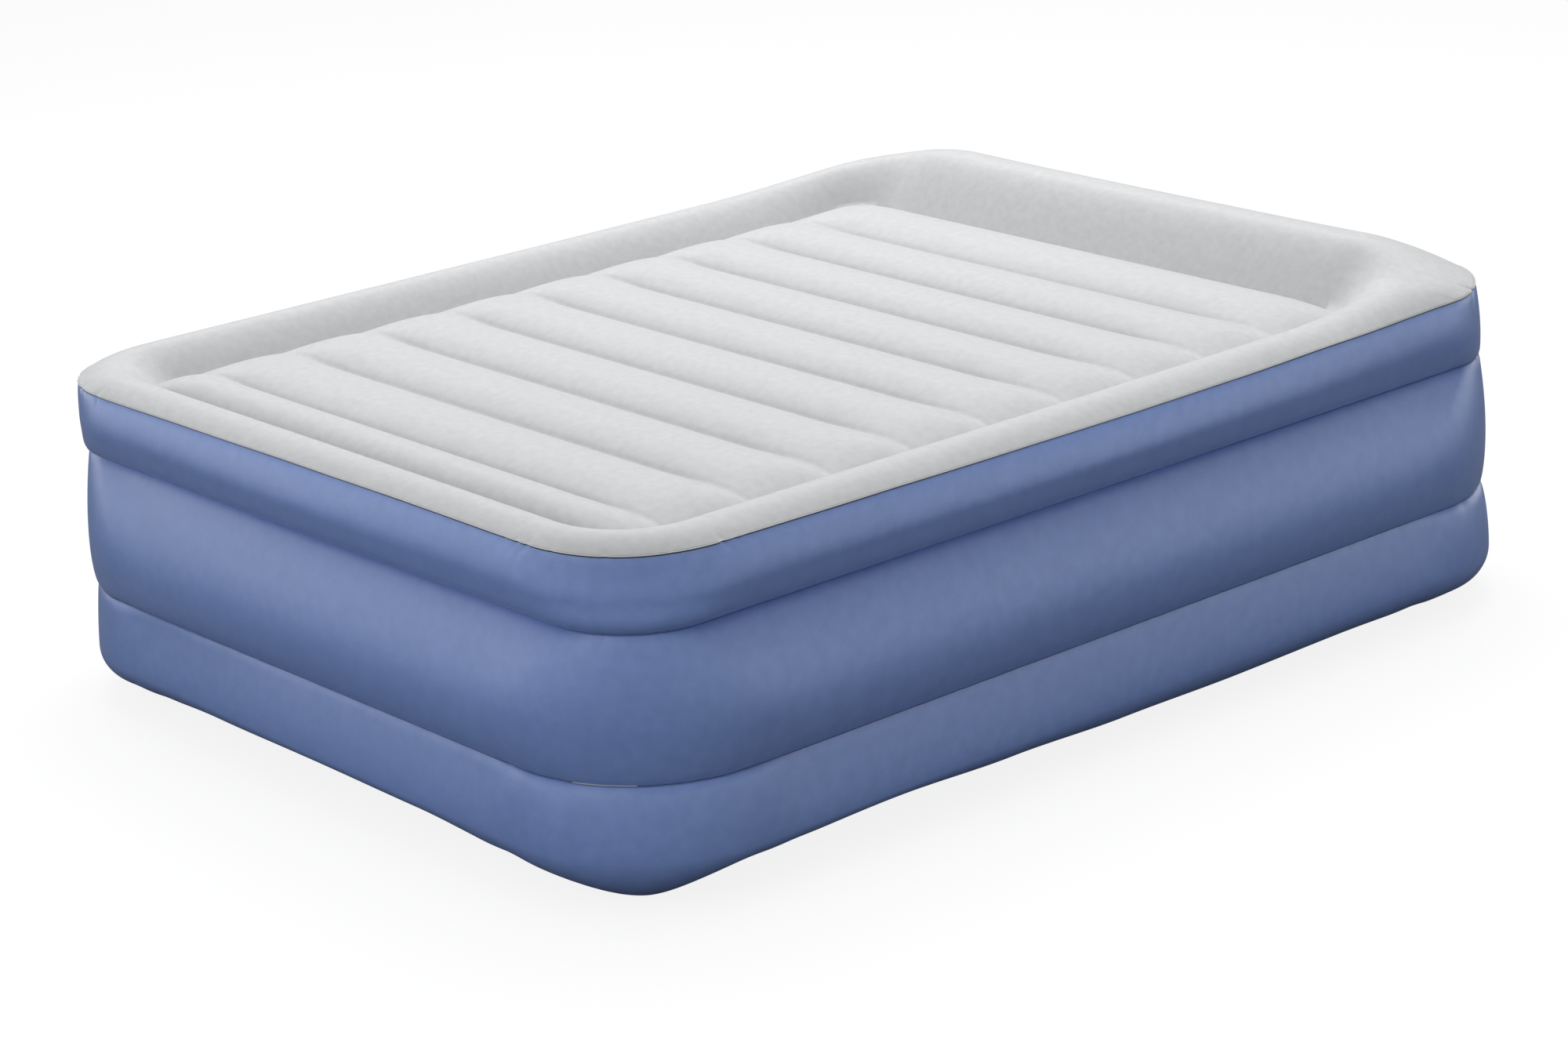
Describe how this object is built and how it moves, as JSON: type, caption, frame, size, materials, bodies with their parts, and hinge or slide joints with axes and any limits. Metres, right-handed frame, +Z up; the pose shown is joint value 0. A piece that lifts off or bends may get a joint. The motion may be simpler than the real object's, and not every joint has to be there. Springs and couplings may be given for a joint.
{
  "type": "air mattress",
  "caption": "Raised double-height inflatable bed with a channelled flocked top, raised pillow end, three swollen side tiers and a mains pump let into the head wall.",
  "frame": {"origin": "middle of the bed's plan on the floor it lies on", "axes": "+Z up, +Y towards the pillow end, +X towards the side seen in the picture"},
  "size_m": [1.52, 2.01, 0.5935],
  "materials": {
    "flocked_grey": "short grey flock on vinyl film",
    "blue_film": "satin vinyl film",
    "inner_film": "plain vinyl film, inside",
    "dark_plastic": "fine textured moulding",
    "grey_plastic": "fine textured moulding",
    "steel": "plain steel",
    "bronze": "sintered bronze",
    "seal_rubber": "matt rubber"
  },
  "bodies": {
    "mattress": {"blower_cover": "grey_plastic", "blower_volute": "grey_plastic", "bottom_sheet": "blue_film", "cord_gland": "seal_rubber", "cord_well": "dark_plastic", "cross_beam_1": "inner_film", "cross_beam_2": "inner_film", "cross_beam_3": "inner_film", "cross_beam_4": "inner_film", "cross_beam_5": "inner_film", "cross_beam_6": "inner_film", "cross_beam_7": "inner_film", "cross_beam_8": "inner_film", "cross_beam_9": "inner_film", "dial_seal": "seal_rubber", "door_pin": "steel", "face_plate": "grey_plastic", "face_screw_1": "steel", "face_screw_2": "steel", "face_screw_3": "steel", "face_screw_4": "steel", "front_bearing": "bronze", "lower_beam_1": "inner_film", "lower_beam_2": "inner_film", "lower_beam_3": "inner_film", "lower_beam_4": "inner_film", "lower_beam_5": "inner_film", "lower_deck": "inner_film", "lower_side_band": "blue_film", "middle_beam_1": "inner_film", "middle_beam_2": "inner_film", "middle_beam_3": "inner_film", "middle_beam_4": "inner_film", "middle_beam_5": "inner_film", "middle_deck": "inner_film", "middle_side_band": "blue_film", "motor_can": "steel", "pump_collar": "grey_plastic", "pump_housing": "dark_plastic", "rear_bearing": "bronze", "switch_body": "dark_plastic", "top_sheet": "flocked_grey", "upper_side_band": "blue_film", "valve_seat": "grey_plastic", "valve_spring": "steel"},
    "dial": {"mode_dial": "dark_plastic", "dial_cam": "grey_plastic"},
    "rocker": {"power_rocker": "seal_rubber"},
    "door": {"cord_door": "grey_plastic"},
    "fan": {"blower_fan": "dark_plastic", "motor_shaft": "steel", "motor_armature": "steel"},
    "valve": {"valve_poppet": "seal_rubber", "spring_cap": "grey_plastic"}
  },
  "joints": [
    {"name": "dial_turn", "type": "hinge", "parent": "mattress", "child": "dial", "pos_m": [-0.308, 0.9936, 0.32], "axis": [0, 1, 0], "range_deg": [-90, 90]},
    {"name": "rocker_tilt", "type": "hinge", "parent": "mattress", "child": "rocker", "pos_m": [-0.308, 0.9893, 0.2625], "axis": [1, 0, 0], "range_deg": [0, 16]},
    {"name": "door_swing", "type": "hinge", "parent": "mattress", "child": "door", "pos_m": [-0.408, 0.9968, 0.35], "axis": [1, 0, 0], "range_deg": [0, 100]},
    {"name": "fan_spin", "type": "hinge", "parent": "mattress", "child": "fan", "pos_m": [-0.31, 0.9448, 0.3], "axis": [0, 1, 0], "continuous": true},
    {"name": "valve_open", "type": "slide", "parent": "mattress", "child": "valve", "axis": [0, -1, 0], "range_m": [0, 0.01], "stiffness_N_per_m": 150, "springref_m": -0.004, "deforming": ["valve_spring"]}
  ]
}
